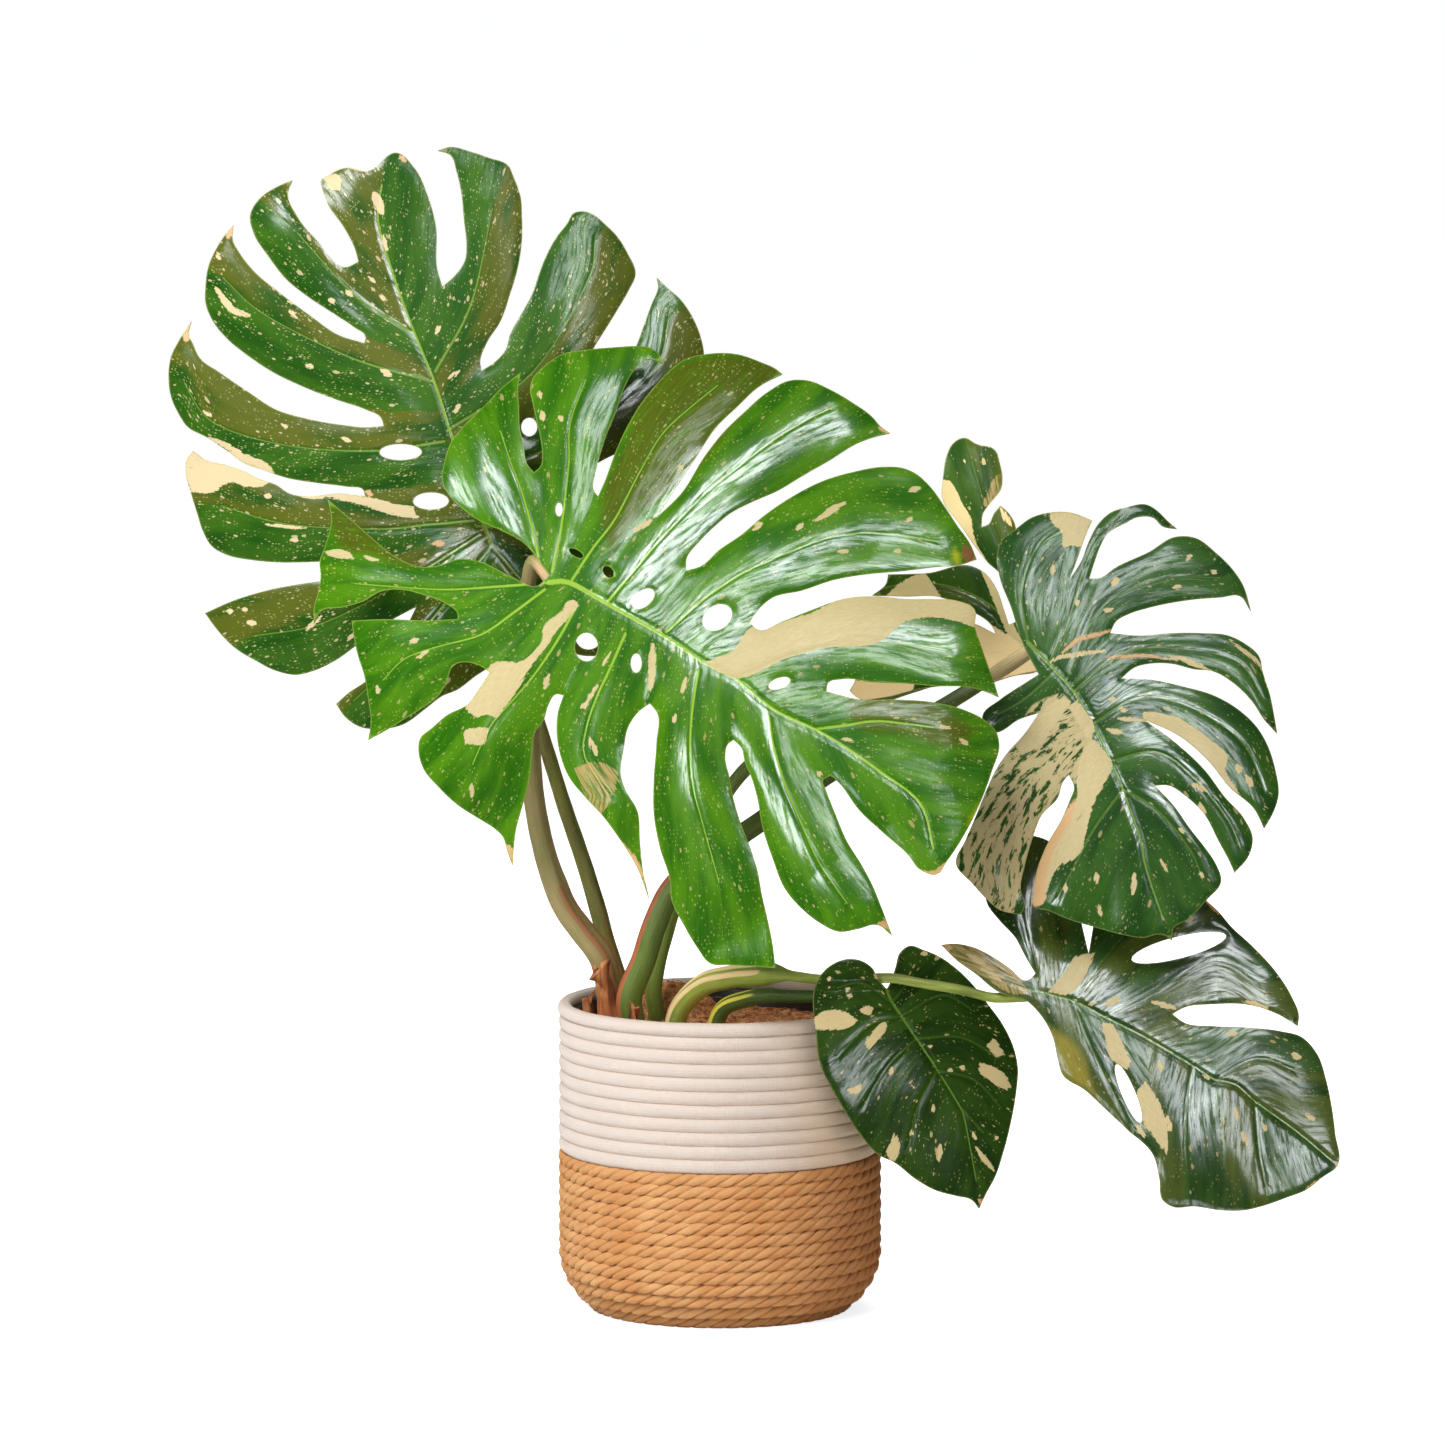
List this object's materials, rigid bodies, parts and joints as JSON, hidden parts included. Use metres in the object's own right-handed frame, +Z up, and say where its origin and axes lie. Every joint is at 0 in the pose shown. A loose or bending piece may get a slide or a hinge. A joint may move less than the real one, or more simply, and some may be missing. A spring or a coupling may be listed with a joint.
{
  "type": "potted variegated split-leaf houseplant",
  "caption": "Split-leaf climbing houseplant with cream-speckled lobed leaves on bent stalks, in a nursery pot inside a two-tone coiled rope basket.",
  "frame": {"origin": "middle of the basket's flat underside", "axes": "+Z up along the pot's axis, -Y towards the viewer that the leaves face, +X to that viewer's right"},
  "size_m": [0.877, 0.3119, 0.8657],
  "materials": {
    "leaf_light": "glossy, bright green with cream speckles and sectors",
    "leaf_dark": "glossy, dark green with cream speckles and sectors",
    "stalk": "satin, grooved, olive to brown",
    "dry_sheath": "matt, papery, brown",
    "potting_mix": "matt, crumbly, reddish brown",
    "pot_plastic": "satin black",
    "cotton_rope": "soft knitted rope, off white",
    "jute_rope": "coarse twisted rope, tan"
  },
  "bodies": {
    "root": {"basket_jute": "jute_rope", "basket_cotton": "cotton_rope", "nursery_pot": "pot_plastic", "soil": "potting_mix", "husk": "dry_sheath", "petiole_front": "stalk", "petiole_back": "stalk", "petiole_right": "stalk", "petiole_far_right": "stalk", "petiole_low": "stalk", "petiole_young": "stalk", "leaf_front": "leaf_light", "leaf_back": "leaf_dark", "leaf_right": "leaf_dark", "leaf_far_right": "leaf_dark", "leaf_low": "leaf_dark", "leaf_young": "leaf_dark"}
  },
  "joints": []
}
